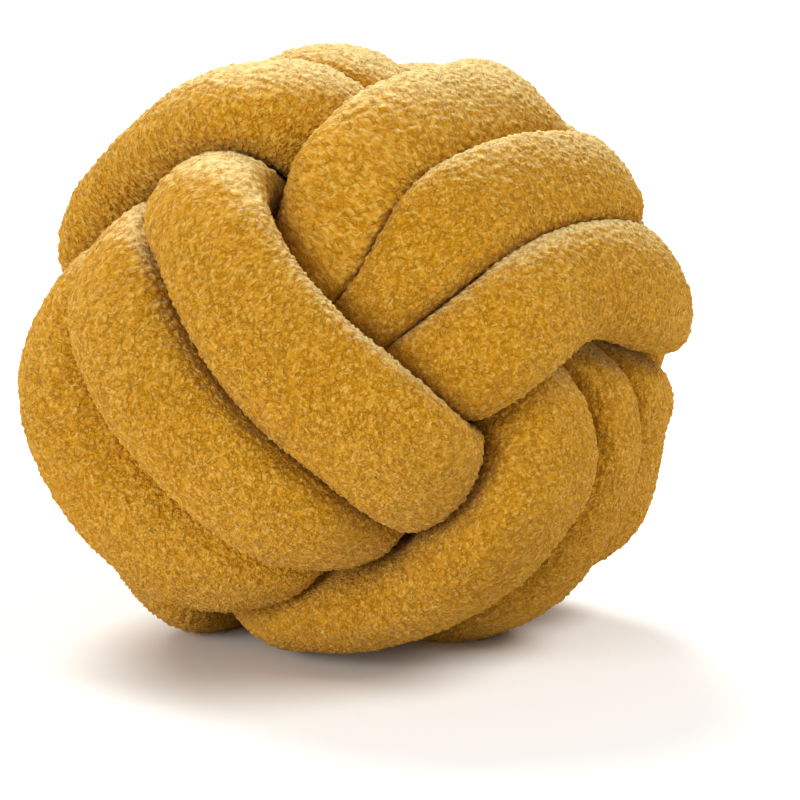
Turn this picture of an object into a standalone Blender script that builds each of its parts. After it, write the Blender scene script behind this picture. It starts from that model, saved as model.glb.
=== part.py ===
"""A round knot cushion: one long stuffed tube tied in a ball, three passes each way round.

Millimetres and degrees until the mesh is made, then metres, +Z up.
"""

import math
from collections import namedtuple

import bpy
import numpy as np
from mathutils import Euler

for old in list(bpy.data.objects):
    bpy.data.objects.remove(old)

MM = 0.001

# The knot before it settles: distances of the tube's middle line from the ball's middle
OUTER_RADIUS = 82.0
UNDER_RADIUS = 47.0
UNDER_STEP = 24.0
END_ANGLE = 27.0
EVEN_ANGLE = 29.0
NECK_SIDE = 28.0
NECK_ALONG = 46.0
NECK_OUT = 50.0

# Where the tube crosses the core from one way round to the next
CROSSING = ((-16, -33, -28), (-2, -10, -20), (12, 13, -19), (28, 23, -38))

# Sideways angle of every pass that shows, at its first end, middle and last end
# (way round, face): first pass, second pass, third pass
PASSES = {
    ("A", 1): ((24, 22, 19), (2, -1, -3), (-27, -32, -29)),
    ("A", -1): ((29, 29, 29), (0, 0, 0), (-29, -29, -29)),
    ("B", 1): ((26, 26, 24), (6, 8, 8), (-15, -10, -15)),
    ("B", -1): ((31, 31, 31), (3, 4, 4), (-25, -24, -23)),
    ("C", 1): ((14, 16, 20), (-12, -11, -5), (-34, -34, -30)),
    ("C", -1): ((23, 21, 18), (-8, -6, -9), (-33, -27, -31)),
}

# Extra half width of the passes that are wider or narrower than the rest: (way round, face, pass)
Fuller = namedtuple("Fuller", "first_neck first_end middle last_end last_neck")
FULLER = {
    ("A", 1, 0): Fuller(3, 3, 1, -3, -1),
    ("B", 1, 0): Fuller(0, 3, 1, 0, 5),
    ("B", 1, 1): Fuller(0, -2, 0, 0, 0),
    ("B", 1, 2): Fuller(-1, 0, -4, -4, 0),
    ("C", 1, 0): Fuller(3, 4, 4, 0, -4),
    ("C", -1, 0): Fuller(4, 4, 3, 4, 5),
    ("C", -1, 1): Fuller(0, 0, -2, -4, -3),
    ("C", -1, 2): Fuller(0, 0, 3, 4, -2),
}
NO_FULLER = Fuller(0, 0, 0, 0, 0)

# The stuffed tube's section when free, and the radius it claims against a pass that presses on it
Section = namedtuple("Section", "half_width outward inward claim")
SECTIONS = {
    "outer": Section(25, 16, 17, 20),
    "neck": Section(22, 18, 16, 17),
    "under": Section(22, 18, 36, 13),
    "crossing": Section(24, 24, 24, 11),
}

# The knot's turn as it lies, and how far it has spread and sunk
TURN = (94.4, -36.2, -36.4)
SPREAD = (1.04, 1.0, 0.955)

# Soft bulges and hollows of the settled ball
Bulge = namedtuple("Bulge", "middle reach shift")
BULGES = (
    Bulge((98, 0, 20), 38, (6, 0, 0)),
    Bulge((66, 10, 78), 24, (5, 0, -3)),
    Bulge((25, 0, 90), 26, (0, 0, -2)),
    Bulge((-95, 0, 40), 30, (4, 0, 0)),
    Bulge((-45, -60, 60), 30, (0, -2, 7)),
    Bulge((-88, -30, 0), 35, (-3, 0, 0)),
    Bulge((-30, -15, 92), 26, (1, 0, 5)),
    Bulge((0, 25, 85), 20, (5, 0, -1)),
    Bulge((-88, 22, 0), 18, (4, 0, 0)),
    Bulge((-52, -3, -65), 26, (-10, 0, 1)),
    Bulge((2, -60, 38), 14, (2, 0, -7)),
    Bulge((64, 16, -62), 24, (11, 0, 0)),
    Bulge((88, 25, 0), 22, (-5, 0, 0)),
    Bulge((84, 4, -16), 18, (-8, 0, 0)),
    Bulge((74, -20, -12), 12, (3, 0, 0)),
    Bulge((75, -25, -38), 12, (-6, 0, 0)),
    Bulge((22, -66, 6), 13, (6, 0, -9)),
    Bulge((74, -26, 31), 16, (1, -1, -6)),
    Bulge((12, -75, -20), 22, (5, 0, 0)),
    Bulge((20, -62, -32), 14, (3, 0, 5)),
    Bulge((-15, -50, -75), 26, (0, 0, 6)),
    Bulge((-5, 10, -92), 45, (0, 0, -5)),
)

FLOOR_HEIGHT = -90.5   # the surface it has flattened on, from the ball's middle
ORIGIN = (-0.5, -0.7)  # middle of the footprint, from the ball's middle

RINGS = 414
SIDES = 12
CLEARANCE = 1.8       # between two passes that touch
OWN_STRETCH = 55.0    # length along the tube over which it can't press on itself
SAME_SPOT = 4.0       # length along the tube too short to press at all
BEND_SHARE = 0.84     # share of a bend's room that the inside of the bend may fill
CLAIM_SHARE = 0.8     # how much of a fuller pass's extra width it also claims
THINNEST = 2.0        # the least distance of the skin from the middle line
CORNER = 8.0          # how squarely a pressed section turns its corners
PRESSING_STEPS = 1000
LENGTH_STEPS = 8000


def way_points(way):
    """Middle-line points of the three loops of one way round, each with its kind and extra width."""
    points = []

    def extra_width(place, face, stage):
        """Extra half width at a stage of a pass, from -2 at its first neck to 2 at its last neck."""
        return FULLER.get((way, face, place), NO_FULLER)[stage + 2]

    def outer(place, end, face):
        side = math.radians(PASSES[way, face][place][end + 1])
        along = math.radians(END_ANGLE * end)
        point = (math.sin(side), math.cos(side) * math.sin(along), math.cos(side) * math.cos(along) * face)
        points.append((np.array(point) * OUTER_RADIUS, "outer", extra_width(place, face, end)))

    def neck(place, end, face):
        side = math.radians(PASSES[way, face][place][end + 1])
        across = NECK_SIDE * math.sin(side) / math.sin(math.radians(EVEN_ANGLE))
        point = (across, NECK_ALONG * end, NECK_OUT * face)
        points.append((np.array(point), "neck", extra_width(place, face, 2 * end)))

    def under(across, end):
        points.append((np.array((across * UNDER_STEP, UNDER_RADIUS * end, 0.0)), "under", 0))

    for place in range(3):
        neck(place, -1, 1)
        for end in (-1, 0, 1):
            outer(place, end, 1)
        neck(place, 1, 1)
        under(1 - place, 1)
        neck(place, 1, -1)
        for end in (1, 0, -1):
            outer(place, end, -1)
        neck(place, -1, -1)
        if place < 2:
            under(0.5 - place, -1)
    for point in CROSSING:
        points.append((np.array(point, float), "crossing", 0))
    return points


def settled_points():
    """The whole loop of middle-line points as it lies, its sideways axes and section sizes."""
    turn = np.array(Euler([math.radians(a) for a in TURN], "XYZ").to_matrix())
    spots, sideways, sizes = [], [], []
    for number, way in enumerate("ABC"):
        for point, kind, extra in way_points(way):
            spots.append(np.roll(point, number))
            sideways.append(np.eye(3)[number])
            sizes.append(np.array(SECTIONS[kind], float) + np.array((extra, 0, 0, CLAIM_SHARE * extra)))
    spots = np.array(spots) @ turn.T * np.array(SPREAD)
    for bulge in BULGES:
        near = np.exp(-((spots - np.array(bulge.middle)) ** 2).sum(1) / (2 * bulge.reach**2))
        spots = spots + near[:, None] * np.array(bulge.shift, float)
    return spots, np.array(sideways) @ turn.T, np.array(sizes)


def closed_spline(spots, knots, where):
    """A smooth closed curve through the spots: its points and directions."""
    count = len(spots)
    gaps = np.diff(knots)
    matrix = np.zeros((count, count))
    right = np.zeros((count, 3))
    for i in range(count):
        after = (i + 1) % count
        matrix[i, i - 1] += gaps[i - 1]
        matrix[i, i] += 2 * (gaps[i - 1] + gaps[i])
        matrix[i, after] += gaps[i]
        right[i] = 6 * ((spots[after] - spots[i]) / gaps[i] - (spots[i] - spots[i - 1]) / gaps[i - 1])
    bend = np.linalg.solve(matrix, right)
    i = np.clip(np.searchsorted(knots, where, side="right") - 1, 0, count - 1)
    after = (i + 1) % count
    gap = gaps[i][:, None]
    step = (where - knots[i])[:, None]
    slope = (spots[after] - spots[i]) / gap - gap * (2 * bend[i] + bend[after]) / 6
    rise = (bend[after] - bend[i]) / gap
    points = spots[i] + step * slope + step**2 * bend[i] / 2 + step**3 * rise / 6
    directions = slope + step * bend[i] + step**2 * rise / 2
    return points, directions / np.linalg.norm(directions, axis=1)[:, None]


def along_tube(count):
    """Evenly spaced stations: points, directions, sideways axes, sizes, distances and whole length."""
    spots, sideways, sizes = settled_points()
    apart = np.linalg.norm(np.roll(spots, -1, 0) - spots, axis=1)
    knots = np.concatenate(([0], np.cumsum(np.sqrt(apart))))
    dense = np.linspace(0, knots[-1], LENGTH_STEPS + 1)
    line, _ = closed_spline(spots, knots, dense[:-1])
    steps = np.linalg.norm(np.roll(line, -1, 0) - line, axis=1)
    length = np.concatenate(([0], np.cumsum(steps)))
    distance = np.arange(count) * length[-1] / count
    where = np.interp(distance, length, dense)
    points, directions = closed_spline(spots, knots, where)

    def blend(values):
        ring = np.concatenate((values, values[:1]))
        return np.stack([np.interp(where, knots, column) for column in ring.T], 1)

    return points, directions, blend(sideways), blend(sizes), distance, length[-1]


def tube_surface(rings, sides):
    """Points of the tube's skin, ring by ring, pressed flat where two passes meet."""
    points, directions, sideways, sizes, distance, length = along_tube(rings)
    others, _, _, other_sizes, other_distance, _ = along_tube(PRESSING_STEPS)
    sideways = sideways - (sideways * directions).sum(1)[:, None] * directions
    sideways /= np.linalg.norm(sideways, axis=1)[:, None]
    outward = np.cross(sideways, directions)
    angles = np.arange(sides) * 2 * math.pi / sides
    rise, side = np.cos(angles)[None], np.sin(angles)[None]
    rays = rise[..., None] * outward[:, None] + side[..., None] * sideways[:, None]
    height = np.where(rise > 0, sizes[:, 1:2], sizes[:, 2:3])
    free = 1 / np.hypot(side / sizes[:, 0:1], rise / height)

    apart = others[None] - points[:, None]
    square = (apart**2).sum(2)
    between = np.abs(other_distance[None] - distance[:, None])
    between = np.minimum(between, length - between)
    shared = (square + sizes[:, 3:4] ** 2 - other_sizes[None, :, 3] ** 2 - CLEARANCE * np.sqrt(square)) / 2
    room = np.where(between > OWN_STRETCH, shared, BEND_SHARE * square / 2)
    room[between <= SAME_SPOT] = np.inf
    limit = np.empty_like(free)
    for j in range(sides):
        facing = np.maximum((rays[:, j, None] * apart).sum(2), 0)
        with np.errstate(divide="ignore"):
            limit[:, j] = np.where(facing > 0, room / facing, np.inf).min(1)
    limit = np.maximum(limit, THINNEST)
    reach = (free**-CORNER + limit**-CORNER) ** (-1 / CORNER)
    skin = points[:, None] + reach[..., None] * rays
    skin[..., 2] = np.maximum(skin[..., 2], FLOOR_HEIGHT)
    return skin - np.array((*ORIGIN, FLOOR_HEIGHT))


def fabric(name, color, roughness):
    material = bpy.data.materials.new(name)
    material.use_nodes = True
    shader = material.node_tree.nodes["Principled BSDF"]
    shader.inputs["Base Color"].default_value = (*color, 1)
    shader.inputs["Roughness"].default_value = roughness
    shader.inputs["Metallic"].default_value = 0
    return material


def tube_object(name, material):
    skin = tube_surface(RINGS, SIDES)
    index = np.arange(RINGS * SIDES).reshape(RINGS, SIDES)
    ahead = np.roll(index, -1, 0)
    quads = np.stack((index, np.roll(index, -1, 1), np.roll(ahead, -1, 1), ahead), -1)
    mesh = bpy.data.meshes.new(name)
    mesh.from_pydata((skin.reshape(-1, 3) * MM).tolist(), [], quads.reshape(-1, 4).tolist())
    mesh.materials.append(material)
    mesh.polygons.foreach_set("use_smooth", [True] * len(mesh.polygons))
    mesh.update()
    tube = bpy.data.objects.new(name, mesh)
    bpy.context.scene.collection.objects.link(tube)
    return tube


tube_object("knotted_tube", fabric("curly_fleece", (0.56, 0.33, 0.07), 0.95))
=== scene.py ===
"""Looks of the knot cushion: curly fleece on its long stuffed tube, a pale floor and soft studio light.

Millimetres and degrees until the meshes are made, then metres, +Z up, with the floor at 0.
"""

import math
from collections import namedtuple

import bpy
import numpy as np
from mathutils import Euler, Matrix, Vector


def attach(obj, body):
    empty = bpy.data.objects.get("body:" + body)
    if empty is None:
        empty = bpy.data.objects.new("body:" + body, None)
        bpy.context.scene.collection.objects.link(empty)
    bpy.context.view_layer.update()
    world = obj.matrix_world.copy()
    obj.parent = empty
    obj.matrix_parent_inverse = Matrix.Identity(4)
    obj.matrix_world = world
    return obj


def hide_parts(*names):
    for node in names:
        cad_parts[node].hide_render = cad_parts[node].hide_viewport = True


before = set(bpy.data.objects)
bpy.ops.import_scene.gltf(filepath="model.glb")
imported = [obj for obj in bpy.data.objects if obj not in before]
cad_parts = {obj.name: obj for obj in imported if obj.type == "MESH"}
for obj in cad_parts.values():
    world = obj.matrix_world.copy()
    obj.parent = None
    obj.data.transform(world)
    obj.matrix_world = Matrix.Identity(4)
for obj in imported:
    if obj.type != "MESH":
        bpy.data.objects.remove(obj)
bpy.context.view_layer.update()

MM = 0.001
TINY = 0.001           # keeps a division safe

# ---------------------------------------------------------------- the knot

# The knot before it settles: where the tube's middle line runs, from the ball's middle
OUTER_RADIUS = 82.0    # to a pass on the outside
UNDER_RADIUS = 47.0    # to a pass under others
UNDER_STEP = 24.0      # and from that pass to its neighbour
END_ANGLE = 27.0       # along an outer pass, from its middle to its end
EVEN_ANGLE = 29.0      # sideways, from an outer pass to its neighbour if the three lie evenly
NECK_SIDE = 28.0       # to the place where such a pass dives under others: sideways,
NECK_ALONG = 46.0      # along the pass
NECK_OUT = 50.0        # and outwards

# Where the tube crosses the core from one way round to the next
CROSSING = ((-16, -33, -28), (-2, -10, -20), (12, 13, -19), (28, 23, -38))

# Sideways angle of every pass that shows, at its first end, middle and last end
# (way round, face): first pass, second pass, third pass
PASSES = {
    ("A", 1): ((24, 22, 19), (2, -1, -3), (-27, -32, -29)),
    ("A", -1): ((29, 29, 29), (0, 0, 0), (-29, -29, -29)),
    ("B", 1): ((26, 26, 24), (6, 8, 8), (-15, -10, -15)),
    ("B", -1): ((31, 31, 31), (3, 4, 4), (-25, -24, -23)),
    ("C", 1): ((14, 16, 20), (-12, -11, -5), (-34, -34, -30)),
    ("C", -1): ((23, 21, 18), (-8, -6, -9), (-33, -27, -31)),
}

# Extra half width of the passes that are wider or narrower than the rest: (way round, face, pass)
Stages = namedtuple("Stages", "first_neck first_end middle last_end last_neck")
FULLER = {
    ("A", 1, 0): Stages(3, 3, 1, -3, 4),
    ("B", 1, 0): Stages(0, 3, 1, 0, 5),
    ("B", 1, 1): Stages(0, -2, 0, 0, 0),
    ("B", 1, 2): Stages(-1, 0, -4, -4, 0),
    ("C", 1, 0): Stages(3, 4, 4, 1, 2),
    ("C", -1, 0): Stages(4, 4, 3, 4, 5),
    ("C", -1, 1): Stages(0, 0, -2, -4, -3),
    ("C", -1, 2): Stages(0, 0, 3, 4, -2),
}
EVEN = Stages(0, 0, 0, 0, 0)

# The stuffed tube's section when free, and the radius it claims against a pass that presses on it
Section = namedtuple("Section", "half_width outward inward claim")
SECTIONS = {
    "outer": Section(25, 16, 17, 20),
    "neck": Section(22, 20, 16, 17),
    "under": Section(22, 18, 36, 13),
    "crossing": Section(24, 24, 24, 11),
}

# The knot's turn as it lies, and how far it has spread and sunk
TURN = (94.4, -36.2, -36.4)
SPREAD = (1.04, 1.0, 0.955)

# Soft bulges and hollows of the settled ball
Bulge = namedtuple("Bulge", "middle reach shift")
BULGES = (
    Bulge((98, 0, 20), 38, (6, 0, 0)),
    Bulge((66, 10, 78), 24, (5, 0, -3)),
    Bulge((25, 0, 90), 26, (0, 0, -2)),
    Bulge((-95, 0, 40), 30, (4, 0, 0)),
    Bulge((-45, -60, 60), 30, (0, -2, 7)),
    Bulge((-88, -30, 0), 35, (-3, 0, 0)),
    Bulge((-30, -15, 92), 26, (1, 0, 5)),
    Bulge((0, 25, 85), 20, (5, 0, -1)),
    Bulge((-88, 22, 0), 18, (4, 0, 0)),
    Bulge((-52, -3, -65), 26, (-10, 0, 1)),
    Bulge((2, -60, 38), 14, (2, 0, -7)),
    Bulge((64, 16, -62), 24, (11, 0, 0)),
    Bulge((88, 25, 0), 22, (-5, 0, 0)),
    Bulge((84, 4, -16), 18, (-8, 0, 0)),
    Bulge((74, -20, -12), 12, (3, 0, 0)),
    Bulge((75, -25, -38), 12, (-6, 0, 0)),
    Bulge((22, -66, 6), 13, (6, 0, -9)),
    Bulge((74, -26, 31), 16, (1, -1, -6)),
    Bulge((12, -75, -20), 22, (5, 0, 0)),
    Bulge((20, -62, -32), 14, (3, 0, 5)),
    Bulge((-15, -50, -75), 26, (0, 0, 6)),
    Bulge((-5, 10, -92), 45, (0, 0, -5)),
)

FLOOR_HEIGHT = -90.5   # the surface it has flattened on, from the ball's middle
ORIGIN = (-0.5, -0.7)  # the middle of its box, from the ball's middle

CLEARANCE = -1.5       # between two passes that touch, below 0 because their piles meet
OWN_STRETCH = 55.0     # length along the tube over which it can't press on itself
SAME_SPOT = 4.0        # length along the tube too short to press at all
BEND_SHARE = 0.84      # share of a bend's room that the inside of the bend may fill
CLAIM_SHARE = 0.8      # how much of a fuller pass's extra width it also claims
THINNEST = 2.0         # about the least distance of the skin from the middle line
CORNER = 6.5           # how squarely a pressed section turns its corners
PRESSING_STEPS = 1000  # places along the tube that may press on the rest
LENGTH_STEPS = 8000    # places at which its length is measured

# ---------------------------------------------------------------- the mesh

# Distance between rings along the tube, where it shows and where it is hidden
FINE = 0.7
RING_SPACING = {"outer": FINE, "neck": 1.35 * FINE, "under": 5.0, "crossing": 5.0}

# Distance between columns round the tube, from its outward side (0 degrees) to its inward side
ColumnSpacing = namedtuple("ColumnSpacing", "angle spacing")
COLUMN_SPACING = (
    ColumnSpacing(0, FINE),
    ColumnSpacing(75, FINE),
    ColumnSpacing(110, 1.6 * FINE),
    ColumnSpacing(135, 5.0),
    ColumnSpacing(180, 6.0),
)
LOOP_GAP = 1.0         # between the ends of two loops, hidden in the core
PROBE_STEP = 0.5       # length along the tube at which the distance between rings is looked up
CHUNK = 64             # rings worked out at a time

# ---------------------------------------------------------------- the fleece

CURL_SIZE = 2.2        # across one curl of the pile
CURL_HEIGHT = 0.85     # from a crack to the top of a curl
CURL_FOOT = 0.45       # share of that height that lies below the tube's skin
CURL_FLANK = 0.45      # the next are shares of a curl's size: its round flank,
CRACK = 0.11           # the dark crack that goes round it,
TURN_RADIUS = 0.41     # the turn of yarn inside it
TURN_WIDTH = 0.09      # and the crack along that turn
WINDING_SIZE = 1.6     # across one bend of a winding crack
WINDING = 1.9          # how far the cracks wind to and fro
FRIZZ_SIZE = 1.15      # across the smallest curls
NUB_SIZE = 1.0         # across the pile's knobs, which get a painted highlight
LUMP_SIZE = 26.0       # across a lump of the filling
LUMP_HEIGHT = 1.6
PATCH_SIZE = 30.0      # across a patch where the pile looks lighter or darker
NO_ROOM = 1.9          # how pressed the skin is where the pile has no room left
LEAST_ROOM = 0.15      # the share of its height that the pile keeps even so

# Where the cracks break off: how long the breaks are, and the noise value above which a crack is closed
Breaks = namedtuple("Breaks", "size closed_above")
CRACK_BREAKS = Breaks(CURL_SIZE, 0.48)
TURN_BREAKS = Breaks(2.0, 0.45)
FRIZZ_BREAKS = Breaks(1.6, 0.46)
BREAK_EASE = 0.07      # how gradually a crack closes, as a change of that value
TURN_SHIFT = 20.0      # how far off the noise of the turns' breaks is read
FRIZZ_SHIFT = 31.0     # how far off the smallest curls are read

# How pale each thing makes the pile, and how far it lifts the bump: cracks get painted shade, knobs a
# painted highlight
Share = namedtuple("Share", "shade bump")
CRACK_SHARE = Share(0.34, 0.6)
FRIZZ_SHARE = Share(0.25, 0.5)
NUB_SHARE = Share(0.33, 1.8)
PATCH_SHADE = 0.10         # a pale patch and combed pile have no bump of their own
COMBED_SHADE = 0.08
NUB_VALUES = (0.44, 0.72)  # noise values of the flat pile and of a knob's top
FREE_ROOM = (0.2, 0.95)    # pile with less room than this gets the full painted crease shade, and with more it gets none; it also keeps the painted highlight out of the creases
CREASE_SHADE_SHARE = 0.9        # painted shade in the creases where passes press: the share of its paleness that pressed pile keeps

# Colour of the pile from the darkest shade to the palest: painted shade in the cracks and creases, mustard,
# and a painted highlight on the knobs
Stop = namedtuple("Stop", "shade colour")
DARK = Stop(0.05, (0.33, 0.128, 0.001, 1))
MUSTARD = Stop(0.62, (0.475, 0.215, 0.010, 1))
PALE = Stop(1.0, (0.58, 0.345, 0.068, 1))

# A painted highlight: the cream painted on the pile near the top, where it faces up and back
CREAM_HIGHLIGHT = (0.80, 0.60, 0.25, 1)
HIGHLIGHT_SIDE = (0.15, 0.35, 0.92)  # the way that the pile with the strongest painted highlight faces
HIGHLIGHT_FROM = 0.35                # pile that faces less that way than this gets no painted highlight
HIGHLIGHT_HEIGHT = (70.0, 120.0)     # nor does pile below the first height, and the highlight is painted in full above the second
HIGHLIGHT_BY_SHADE = (1.5, 0.07)          # how much the pile's shade adds to the painted highlight, and how much highlight it gets anyway

# How far the curls are drawn out across the tube, where it differs
COMBED = {
    ("A", 1, 0): Stages(0.1, 0.1, 0.2, 0.6, 0.7),
    ("A", 1, 1): Stages(0.1, 0.1, 0.2, 0.6, 0.7),
    ("A", 1, 2): Stages(0.1, 0.1, 0.2, 0.5, 0.7),
    ("B", 1, 0): Stages(0.2, 0.2, 0.2, 0.6, 0.7),
    ("C", 1, 0): Stages(0.4, 0.4, 0.5, 0.4, 0.2),
}
LITTLE_COMBED = Stages(0.1, 0.1, 0.1, 0.1, 0.1)
COMB_REACH = 0.75      # how near to the middle line the pattern of a fully combed pile is read


def way_points(way):
    """Middle-line points of one way round's three loops, each with its kind, its pass and its stage.

    A pass has stages from -2 at its first neck to 2 at its last neck.
    """
    points = []

    def outer(place, end, face):
        side = math.radians(PASSES[way, face][place][end + 1])
        along = math.radians(END_ANGLE * end)
        point = (math.sin(side), math.cos(side) * math.sin(along), math.cos(side) * math.cos(along) * face)
        points.append((np.array(point) * OUTER_RADIUS, "outer", (way, face, place), end))

    def neck(place, end, face):
        side = math.radians(PASSES[way, face][place][end + 1])
        across = NECK_SIDE * math.sin(side) / math.sin(math.radians(EVEN_ANGLE))
        point = (across, NECK_ALONG * end, NECK_OUT * face)
        points.append((np.array(point), "neck", (way, face, place), 2 * end))

    def under(across, end):
        points.append((np.array((across * UNDER_STEP, UNDER_RADIUS * end, 0.0)), "under", None, 0))

    for place in range(3):
        neck(place, -1, 1)
        for end in (-1, 0, 1):
            outer(place, end, 1)
        neck(place, 1, 1)
        under(1 - place, 1)
        neck(place, 1, -1)
        for end in (1, 0, -1):
            outer(place, end, -1)
        neck(place, -1, -1)
        if place < 2:
            under(0.5 - place, -1)
    for point in CROSSING:
        points.append((np.array(point, float), "crossing", None, 0))
    return points


class Knot:
    """The whole closed tube as it lies: its middle line and what its section is like on the way."""

    def __init__(self):
        turn = np.array(Euler([math.radians(a) for a in TURN], "XYZ").to_matrix())
        spots, sideways, sizes, spacing, combed = [], [], [], [], []
        self.passes = []
        for number, way in enumerate("ABC"):
            for point, kind, which, stage in way_points(way):
                spots.append(np.roll(point, number))
                sideways.append(np.eye(3)[number])
                extra = FULLER.get(which, EVEN)[stage + 2]
                sizes.append(np.array(SECTIONS[kind], float) + np.array((extra, 0, 0, CLAIM_SHARE * extra)))
                spacing.append((RING_SPACING[kind],))
                combed.append((COMBED.get(which, LITTLE_COMBED)[stage + 2] if which else 0,))
                self.passes.append(which if kind == "outer" else None)
        spots = np.array(spots) @ turn.T * np.array(SPREAD)
        for bulge in BULGES:
            near = np.exp(-((spots - np.array(bulge.middle)) ** 2).sum(1) / (2 * bulge.reach**2))
            spots = spots + near[:, None] * np.array(bulge.shift, float)
        self.spots = spots
        self.sideways = np.array(sideways) @ turn.T
        self.sizes = np.array(sizes)
        self.spacing = np.array(spacing)
        self.combed = np.array(combed, float)
        self.measure()

    def measure(self):
        """Where along the curve each spot is, and how long the curve is up to there."""
        count = len(self.spots)
        apart = np.linalg.norm(np.roll(self.spots, -1, 0) - self.spots, axis=1)
        self.knots = np.concatenate(([0], np.cumsum(np.sqrt(apart))))
        gaps = np.diff(self.knots)
        matrix = np.zeros((count, count))
        right = np.zeros((count, 3))
        for i in range(count):
            after = (i + 1) % count
            matrix[i, i - 1] += gaps[i - 1]
            matrix[i, i] += 2 * (gaps[i - 1] + gaps[i])
            matrix[i, after] += gaps[i]
            ahead = (self.spots[after] - self.spots[i]) / gaps[i]
            behind = (self.spots[i] - self.spots[i - 1]) / gaps[i - 1]
            right[i] = 6 * (ahead - behind)
        self.bend = np.linalg.solve(matrix, right)
        self.dense = np.linspace(0, self.knots[-1], LENGTH_STEPS + 1)
        line, _ = self.curve(self.dense)
        steps = np.linalg.norm(np.diff(line, axis=0), axis=1)
        self.length = np.concatenate(([0], np.cumsum(steps)))

    def curve(self, where):
        """Points and directions of the smooth closed curve through the spots."""
        count = len(self.spots)
        gaps = np.diff(self.knots)
        i = np.clip(np.searchsorted(self.knots, where, side="right") - 1, 0, count - 1)
        after = (i + 1) % count
        gap = gaps[i][:, None]
        step = (where - self.knots[i])[:, None]
        slope = (self.spots[after] - self.spots[i]) / gap - gap * (2 * self.bend[i] + self.bend[after]) / 6
        rise = (self.bend[after] - self.bend[i]) / gap
        points = self.spots[i] + step * slope + step**2 * self.bend[i] / 2 + step**3 * rise / 6
        directions = slope + step * self.bend[i] + step**2 * rise / 2
        return points, directions / np.linalg.norm(directions, axis=1)[:, None]

    def blend(self, values, where):
        """What a value at the spots is between them."""
        ring = np.concatenate((values, values[:1]))
        return np.stack([np.interp(where, self.knots, column) for column in ring.T], 1)

    def loops(self):
        """Name and first and last distance of each of the nine loops, cut where they are hidden."""
        where = [np.interp(knot, self.dense, self.length) for knot in self.knots[:-1]]
        names, first, last = [], {}, {}
        for spot, which in enumerate(self.passes):
            if which is None:
                continue
            name = which[0] + str(which[2] + 1)
            if name not in first:
                names.append(name)
                first[name] = where[spot]
            last[name] = where[spot]
        whole = self.length[-1]
        for number, name in enumerate(names):
            before = last[names[number - 1]] - (whole if number == 0 else 0)
            after = first[names[(number + 1) % len(names)]] + (whole if number == len(names) - 1 else 0)
            start = (before + first[name]) / 2 + LOOP_GAP / 2
            stop = (last[name] + after) / 2 - LOOP_GAP / 2
            yield name, start, stop

    def stations(self, start, stop):
        """Distances of the rings from start to stop, close together where the tube shows."""
        whole = self.length[-1]
        distance = np.arange(start, stop, PROBE_STEP)
        where = np.interp(distance % whole, self.length, self.dense)
        rate = 1 / self.blend(self.spacing, where)[:, 0]
        count = np.concatenate(([0], np.cumsum((rate[1:] + rate[:-1]) / 2 * np.diff(distance))))
        return np.interp(np.linspace(0, count[-1], round(count[-1]) + 1), count, distance)


def column_angles():
    """Angles of the columns round a section, closer together on the outward side."""
    section = SECTIONS["outer"]
    angle = np.radians(np.arange(0, 181, 1))
    radius = 1 / np.hypot(np.sin(angle) / section.half_width, np.cos(angle) / section.outward)
    steps = np.hypot(np.diff(radius), (radius[1:] + radius[:-1]) / 2 * np.diff(angle))
    middle = (angle[1:] + angle[:-1]) / 2
    table = np.array(COLUMN_SPACING, float)
    count = np.cumsum(steps / np.interp(np.degrees(middle), table[:, 0], table[:, 1]))
    count = np.concatenate(([0], count))
    half = round(count[-1])
    right = np.interp(np.linspace(0, count[-1], half + 1), count, angle)
    return np.concatenate((right, -right[-2:0:-1]))


def skin(knot, distance, angles):
    """Points of the tube's skin, ring by ring, pressed flat where two passes meet.

    With each point go its place in the fleece, how pressed it is and how combed.
    """
    whole = knot.length[-1]
    where = np.interp(distance % whole, knot.length, knot.dense)
    points, directions = knot.curve(where)
    sizes = knot.blend(knot.sizes, where)
    sideways = knot.blend(knot.sideways, where)
    sideways -= (sideways * directions).sum(1)[:, None] * directions
    sideways /= np.linalg.norm(sideways, axis=1)[:, None]
    outward = np.cross(sideways, directions)

    other_distance = np.arange(PRESSING_STEPS) * whole / PRESSING_STEPS
    other_where = np.interp(other_distance, knot.length, knot.dense)
    others, _ = knot.curve(other_where)
    other_claim = knot.blend(knot.sizes, other_where)[:, 3]

    rise, side = np.cos(angles)[None], np.sin(angles)[None]
    rays = rise[..., None] * outward[:, None] + side[..., None] * sideways[:, None]
    height = np.where(rise > 0, sizes[:, 1:2], sizes[:, 2:3])
    free = 1 / np.hypot(side / sizes[:, 0:1], rise / height)
    press = np.empty_like(free)
    for start in range(0, len(points), CHUNK):
        part = slice(start, start + CHUNK)
        apart = others[None] - points[part, None]
        square = (apart**2).sum(2)
        between = np.abs(other_distance[None] - distance[part, None]) % whole
        between = np.minimum(between, whole - between)
        claims = sizes[part, 3:4] ** 2 - other_claim[None] ** 2
        shared = (square + claims - CLEARANCE * np.sqrt(square)) / 2
        room = np.where(between > OWN_STRETCH, shared, BEND_SHARE * square / 2)
        room = np.maximum(room, TINY)
        room[between <= SAME_SPOT] = np.inf
        planes = apart / room[..., None]
        press[part] = (rays[part] @ planes.transpose(0, 2, 1)).max(2)
    press = np.clip(press, 1 / (4 * OUTER_RADIUS), 1 / THINNEST)
    reach = (free**-CORNER + press**CORNER) ** (-1 / CORNER)
    surface = points[:, None] + reach[..., None] * rays
    surface[..., 2] = np.maximum(surface[..., 2], FLOOR_HEIGHT)
    surface -= np.array((*ORIGIN, FLOOR_HEIGHT))
    combed = knot.blend(knot.combed, where)
    place = surface - COMB_REACH * combed[:, None] * reach[..., None] * rays
    return surface, place, free * press, np.broadcast_to(combed, free.shape)


# ---------------------------------------------------------------- node trees

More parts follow.
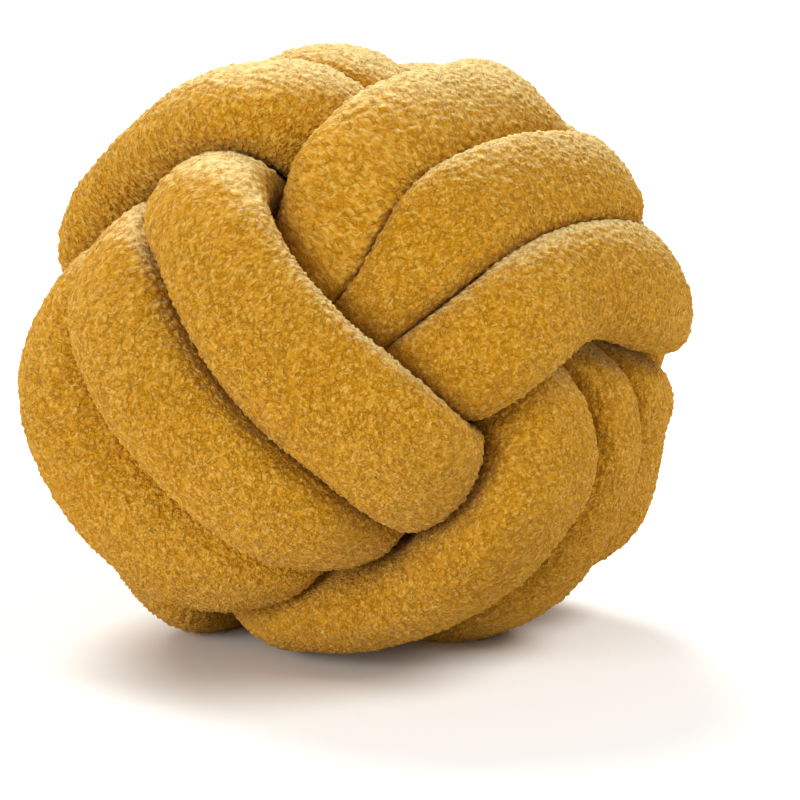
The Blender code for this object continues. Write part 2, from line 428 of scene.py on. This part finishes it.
def add(tree, kind, settings=None, inputs=None):
    """A node with its settings and inputs. An input's value is a constant or another node's socket."""
    made = tree.nodes.new(kind)
    for name, value in (settings or {}).items():
        setattr(made, name, value)
    for name, value in (inputs or {}).items():
        if isinstance(value, bpy.types.NodeSocket):
            tree.links.new(value, made.inputs[name])
        else:
            made.inputs[name].default_value = value
    return made


def calc(tree, operation, *values):
    """The outcome of a sum on numbers."""
    return add(tree, "ShaderNodeMath", {"operation": operation}, dict(enumerate(values))).outputs[0]


def calc_vector(tree, operation, *values, scale=None):
    """The outcome of a sum on vectors."""
    inputs = dict(enumerate(values))
    if scale is not None:
        inputs["Scale"] = scale
    return add(tree, "ShaderNodeVectorMath", {"operation": operation}, inputs).outputs[0]


def step(tree, value, low, high, to_low=0.0, to_high=1.0):
    """The value eased from low to high."""
    inputs = {"Value": value, "From Min": low, "From Max": high, "To Min": to_low, "To Max": to_high}
    return add(tree, "ShaderNodeMapRange", {"interpolation_type": "SMOOTHSTEP"}, inputs).outputs[0]


def noise(tree, place, size, detail=0.0, output=0):
    """A soft noise at a place: output 0 is a number, and output 1 a vector."""
    inputs = {"Vector": place, "Scale": 1 / size, "Detail": detail, "Roughness": 0.5}
    return add(tree, "ShaderNodeTexNoise", None, inputs).outputs[output]


def elsewhere(tree, place, shift):
    """Another place, for a pattern that has a course of its own."""
    return calc_vector(tree, "ADD", place, (shift, 2 * shift, 3 * shift))


def winding(tree, place):
    """The place moved a little to and fro, so that what is drawn there winds."""
    sway = calc_vector(tree, "SUBTRACT", noise(tree, place, WINDING_SIZE, 1.0, 1), (0.5, 0.5, 0.5))
    return calc_vector(tree, "ADD", place, calc_vector(tree, "SCALE", sway, scale=WINDING))


def cells(tree, place, size, feature):
    """A distance in a pattern of irregular cells, as a share of their size."""
    inputs = {"Vector": place, "Scale": 1 / size}
    return add(tree, "ShaderNodeTexVoronoi", {"feature": feature}, inputs).outputs["Distance"]


def broken(tree, line, place, breaks):
    """A line of 0 that is closed to 1 where a noise is high."""
    low, high = breaks.closed_above - BREAK_EASE, breaks.closed_above + BREAK_EASE
    return calc(tree, "MAXIMUM", line, step(tree, noise(tree, place, breaks.size), low, high))


def cracks(tree, place, wound, edge):
    """0 in the dark cracks between and inside the curls, 1 off them."""
    between = broken(tree, step(tree, edge, 0.0, CRACK), place, CRACK_BREAKS)
    radius = cells(tree, wound, CURL_SIZE, "F1")
    off = calc(tree, "ABSOLUTE", calc(tree, "SUBTRACT", radius, TURN_RADIUS))
    there = elsewhere(tree, place, TURN_SHIFT)
    inside = broken(tree, step(tree, off, 0.0, TURN_WIDTH), there, TURN_BREAKS)
    return calc(tree, "MULTIPLY", between, inside)


def frizz(tree, wound):
    """0 in the fine cracks of the smallest curls, 1 off them."""
    there = elsewhere(tree, wound, FRIZZ_SHIFT)
    edge = cells(tree, there, FRIZZ_SIZE, "DISTANCE_TO_EDGE")
    return broken(tree, step(tree, edge, 0.0, CRACK), there, FRIZZ_BREAKS)


def painted_highlight_mask(tree, place):
    """Mask of the painted cream highlight: 1 high up where the surface faces up and back, 0 low down and
    where it faces well away.
    """
    facing = tree.nodes.new("ShaderNodeNewGeometry").outputs["Normal"]
    inputs = {0: facing, 1: HIGHLIGHT_SIDE}
    toward = add(tree, "ShaderNodeVectorMath", {"operation": "DOT_PRODUCT"}, inputs).outputs["Value"]
    height = add(tree, "ShaderNodeSeparateXYZ", None, {"Vector": place}).outputs["Z"]
    return calc(tree, "MULTIPLY", step(tree, toward, HIGHLIGHT_FROM, 1.0), step(tree, height, *HIGHLIGHT_HEIGHT))


def pile_nodes():
    """Geometry nodes that raise the pile from a smooth skin."""
    tree = bpy.data.node_groups.new("pile", "GeometryNodeTree")
    tree.interface.new_socket("Geometry", in_out="INPUT", socket_type="NodeSocketGeometry")
    tree.interface.new_socket("Geometry", in_out="OUTPUT", socket_type="NodeSocketGeometry")
    start = tree.nodes.new("NodeGroupInput")
    end = tree.nodes.new("NodeGroupOutput")
    read = "GeometryNodeInputNamedAttribute"
    place = add(tree, read, {"data_type": "FLOAT_VECTOR"}, {"Name": "place"}).outputs[0]
    room = add(tree, read, {"data_type": "FLOAT"}, {"Name": "room"}).outputs[0]
    edge = cells(tree, winding(tree, place), CURL_SIZE, "DISTANCE_TO_EDGE")
    height = calc(tree, "SUBTRACT", step(tree, edge, 0.0, CURL_FLANK), CURL_FOOT)
    height = calc(tree, "MULTIPLY", calc(tree, "MULTIPLY", height, CURL_HEIGHT * MM), room)
    lump = calc(tree, "SUBTRACT", noise(tree, place, LUMP_SIZE, 1.0), 0.5)
    height = calc(tree, "MULTIPLY_ADD", lump, LUMP_HEIGHT * MM, height)
    normal = tree.nodes.new("GeometryNodeInputNormal").outputs[0]
    position = tree.nodes.new("GeometryNodeInputPosition").outputs[0]
    raised = calc_vector(tree, "ADD", position, calc_vector(tree, "SCALE", normal, scale=height))
    on_floor = (-FLOOR_SIZE, -FLOOR_SIZE, 0.0)
    raised = calc_vector(tree, "MAXIMUM", raised, on_floor)
    links = {"Geometry": start.outputs["Geometry"], "Position": raised}
    moved = add(tree, "GeometryNodeSetPosition", None, links)
    tree.links.new(moved.outputs["Geometry"], end.inputs["Geometry"])
    return tree


def fleece_material():
    """Mustard curly fleece: painted highlights on the knobs, brown painted shade in the cracks between the
    curls and in the pressed creases, a painted cream highlight at the top, a soft sheen.
    """
    material = bpy.data.materials.new("curly_fleece")
    material.use_nodes = True
    tree = material.node_tree
    shader = tree.nodes["Principled BSDF"]
    place = add(tree, "ShaderNodeAttribute", {"attribute_name": "place"}).outputs["Vector"]
    combed = add(tree, "ShaderNodeAttribute", {"attribute_name": "combed"}).outputs["Fac"]
    room = add(tree, "ShaderNodeAttribute", {"attribute_name": "room"}).outputs["Fac"]
    wound = winding(tree, place)
    edge = cells(tree, wound, CURL_SIZE, "DISTANCE_TO_EDGE")
    crack = cracks(tree, place, wound, edge)
    fine = frizz(tree, wound)
    nub = noise(tree, place, NUB_SIZE, 1.0)
    free = step(tree, room, *FREE_ROOM)
    # Painted shade in the fine cracks and in the cracks between and inside the curls
    shade = calc(tree, "MULTIPLY", fine, FRIZZ_SHARE.shade)
    shade = calc(tree, "MULTIPLY_ADD", crack, CRACK_SHARE.shade, shade)
    # Painted highlight on the knobs, which the bump also raises
    shade = calc(tree, "MULTIPLY_ADD", step(tree, nub, *NUB_VALUES), NUB_SHARE.shade, shade)
    shade = calc(tree, "MULTIPLY_ADD", noise(tree, place, PATCH_SIZE), PATCH_SHADE, shade)
    shade = calc(tree, "MULTIPLY_ADD", combed, COMBED_SHADE, shade)
    # Painted shade in the creases where passes press together: their pile keeps only part of its paleness
    painted_crease_shade = calc(tree, "MULTIPLY_ADD", free, 1 - CREASE_SHADE_SHARE, CREASE_SHADE_SHARE)
    shade = calc(tree, "MULTIPLY", shade, painted_crease_shade)
    ramp = add(tree, "ShaderNodeValToRGB", None, {"Fac": shade})
    stops = ramp.color_ramp.elements
    stops[0].position, stops[0].color = DARK
    stops[1].position, stops[1].color = PALE
    stops.new(MUSTARD.shade).color = MUSTARD.colour
    # Painted highlight: cream painted on the pile where it faces up and back near the top, kept off the
    # pressed creases and strongest on the palest pile
    highlight_strength = calc(tree, "MULTIPLY_ADD", shade, *HIGHLIGHT_BY_SHADE)
    painted_highlight = calc(tree, "MULTIPLY", painted_highlight_mask(tree, place), free)
    painted_highlight = calc(tree, "MULTIPLY", painted_highlight, highlight_strength)
    colours = {0: painted_highlight, 6: ramp.outputs["Color"], 7: CREAM_HIGHLIGHT}
    mixed = add(tree, "ShaderNodeMix", {"data_type": "RGBA"}, colours).outputs[2]
    tree.links.new(mixed, shader.inputs["Base Color"])
    bump_height = step(tree, edge, 0.0, CURL_FLANK)
    bump_height = calc(tree, "MULTIPLY_ADD", crack, CRACK_SHARE.bump, bump_height)
    bump_height = calc(tree, "MULTIPLY_ADD", nub, NUB_SHARE.bump, bump_height)
    bump_height = calc(tree, "MULTIPLY_ADD", fine, FRIZZ_SHARE.bump, bump_height)
    bump_inputs = {"Strength": 0.8, "Distance": 0.65 * MM, "Height": bump_height}
    bump = add(tree, "ShaderNodeBump", None, bump_inputs)
    tree.links.new(bump.outputs["Normal"], shader.inputs["Normal"])
    shader.inputs["Subsurface Weight"].default_value = 0.15
    shader.inputs["Subsurface Radius"].default_value = (1.0, 0.35, 0.08)
    shader.inputs["Subsurface Scale"].default_value = 3.0 * MM
    shader.inputs["Roughness"].default_value = 0.9
    shader.inputs["Specular IOR Level"].default_value = 0.0
    shader.inputs["Sheen Weight"].default_value = 0.15
    shader.inputs["Sheen Roughness"].default_value = 0.3
    shader.inputs["Sheen Tint"].default_value = (1.0, 0.9, 0.7, 1)
    return material


# ---------------------------------------------------------------- the pieces

def closed_tube(name, surface, place, pressed, combed):
    """A tube's mesh with closed ends. Its points hold their place in the fleece and what the pile does."""
    rings, sides = surface.shape[:2]
    index = np.arange(rings * sides).reshape(rings, sides)
    ahead = index[1:]
    behind = index[:-1]
    quads = np.stack((behind, np.roll(behind, -1, 1), np.roll(ahead, -1, 1), ahead), -1).reshape(-1, 4)
    first = np.full(sides, rings * sides)
    first_fan = np.stack((first, np.roll(index[0], -1), index[0]), -1)
    last_fan = np.stack((first + 1, index[-1], np.roll(index[-1], -1)), -1)
    ends = np.stack((surface[0].mean(0), surface[-1].mean(0)))
    points = np.concatenate((surface.reshape(-1, 3), ends))
    mesh = bpy.data.meshes.new(name)
    faces = quads.tolist() + first_fan.tolist() + last_fan.tolist()
    mesh.from_pydata((points * MM).tolist(), [], faces)
    room = np.clip(NO_ROOM - pressed, LEAST_ROOM, 1)
    place = np.concatenate((place.reshape(-1), ends.reshape(-1)))
    mesh.attributes.new("place", "FLOAT_VECTOR", "POINT").data.foreach_set("vector", place)
    for label, values in (("room", room), ("combed", combed)):
        values = np.concatenate((values.reshape(-1), (0, 0)))
        mesh.attributes.new(label, "FLOAT", "POINT").data.foreach_set("value", values)
    mesh.polygons.foreach_set("use_smooth", [True] * len(mesh.polygons))
    mesh.update()
    return mesh


def fleece_loop(name, mesh, pile, material):
    """One loop of the tube in its fleece, its pile raised and made part of the mesh."""
    piece = bpy.data.objects.new(name, mesh)
    bpy.context.scene.collection.objects.link(piece)
    raised = piece.modifiers.new("pile", "NODES")
    raised.node_group = pile
    graph = bpy.context.evaluated_depsgraph_get()
    piece.data = bpy.data.meshes.new_from_object(piece.evaluated_get(graph))
    piece.modifiers.clear()
    bpy.data.meshes.remove(mesh)
    piece.data.name = name
    piece.data.materials.clear()
    piece.data.materials.append(material)
    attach(piece, "root")
    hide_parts("knotted_tube")


def cushion():
    """The whole cushion, loop by loop."""
    knot = Knot()
    angles = column_angles()
    pile = pile_nodes()
    material = fleece_material()
    for name, start, stop in knot.loops():
        mesh = closed_tube("loop_mesh", *skin(knot, knot.stations(start, stop), angles))
        fleece_loop("fleece_loop_" + name, mesh, pile, material)
    bpy.data.node_groups.remove(pile)


# ---------------------------------------------------------------- floor, light and camera

FLOOR_SIZE = 14.0        # metres
FLOOR_COLOUR = (0.9, 0.9, 0.885, 1)
PIXEL = 0.312            # millimetres of the ball across one pixel of the photograph
FRAME_SIZE = 800         # pixels across the photograph
BALL_PIXEL = (357, 350)  # the ball's middle in the photograph
CAMERA_TURN = 0.0
CAMERA_RISE = 12.0
CAMERA_DISTANCE = 1.2    # metres
SENSOR = 36.0
SKY_COLOUR = (1.0, 0.99, 0.97, 1)
SKY_STRENGTH = 0.3
LIGHT_WIDTH = 0.6        # radians across each light, as the cushion sees it

# The way to each light, and its strength
Light = namedtuple("Light", "direction strength")
LIGHTS = {
    "rim_light": Light((-0.4, 0.8, 1.0), 3.0),
    "top_light": Light((0.9, -0.3, 1.2), 2.3),
    "front_light": Light((-1.2, -1.2, 0.5), 2.1),
}


def pale_floor():
    half = FLOOR_SIZE / 2
    mesh = bpy.data.meshes.new("floor")
    corners = [(-half, -half, 0), (half, -half, 0), (half, half, 0), (-half, half, 0)]
    mesh.from_pydata(corners, [], [(0, 1, 2, 3)])
    floor = bpy.data.objects.new("floor", mesh)
    bpy.context.scene.collection.objects.link(floor)
    material = bpy.data.materials.new("pale_floor")
    material.use_nodes = True
    shader = material.node_tree.nodes["Principled BSDF"]
    shader.inputs["Base Color"].default_value = FLOOR_COLOUR
    shader.inputs["Roughness"].default_value = 0.8
    shader.inputs["Specular IOR Level"].default_value = 0.2
    mesh.materials.append(material)


def soft_light(name, light):
    """A sun as wide as a soft box."""
    lamp = bpy.data.lights.new(name, "SUN")
    lamp.angle = LIGHT_WIDTH
    lamp.energy = light.strength
    holder = bpy.data.objects.new(name, lamp)
    bpy.context.scene.collection.objects.link(holder)
    holder.rotation_euler = Vector(light.direction).to_track_quat("Z", "Y").to_euler()


def studio():
    """A pale even sky, the three lights, and colours as they are."""
    world = bpy.data.worlds.new("studio")
    bpy.context.scene.world = world
    world.use_nodes = True
    sky = world.node_tree.nodes["Background"]
    sky.inputs["Color"].default_value = SKY_COLOUR
    sky.inputs["Strength"].default_value = SKY_STRENGTH
    for name, light in LIGHTS.items():
        soft_light(name, light)
    bpy.context.scene.view_settings.view_transform = "Standard"


def photo_camera():
    """The camera at the photograph's angle, with the ball where the photograph has it."""
    turn, rise = math.radians(CAMERA_TURN), math.radians(CAMERA_RISE)
    back = Vector((math.sin(turn) * math.cos(rise), -math.cos(turn) * math.cos(rise), math.sin(rise)))
    right = Vector((math.cos(turn), math.sin(turn), 0))
    up = back.cross(right)
    middle = Vector((-ORIGIN[0], -ORIGIN[1], -FLOOR_HEIGHT)) * MM
    across = (FRAME_SIZE / 2 - BALL_PIXEL[0]) * PIXEL * MM
    down = (FRAME_SIZE / 2 - BALL_PIXEL[1]) * PIXEL * MM
    aim = middle + right * across - up * down
    camera = bpy.data.cameras.new("photo_camera")
    camera.sensor_width = SENSOR
    camera.lens = SENSOR * CAMERA_DISTANCE / (FRAME_SIZE * PIXEL * MM)
    holder = bpy.data.objects.new("photo_camera", camera)
    bpy.context.scene.collection.objects.link(holder)
    holder.location = aim + back * CAMERA_DISTANCE
    holder.rotation_euler = Matrix((right, up, back)).transposed().to_euler()
    bpy.context.scene.camera = holder


cushion()
pale_floor()
studio()
photo_camera()
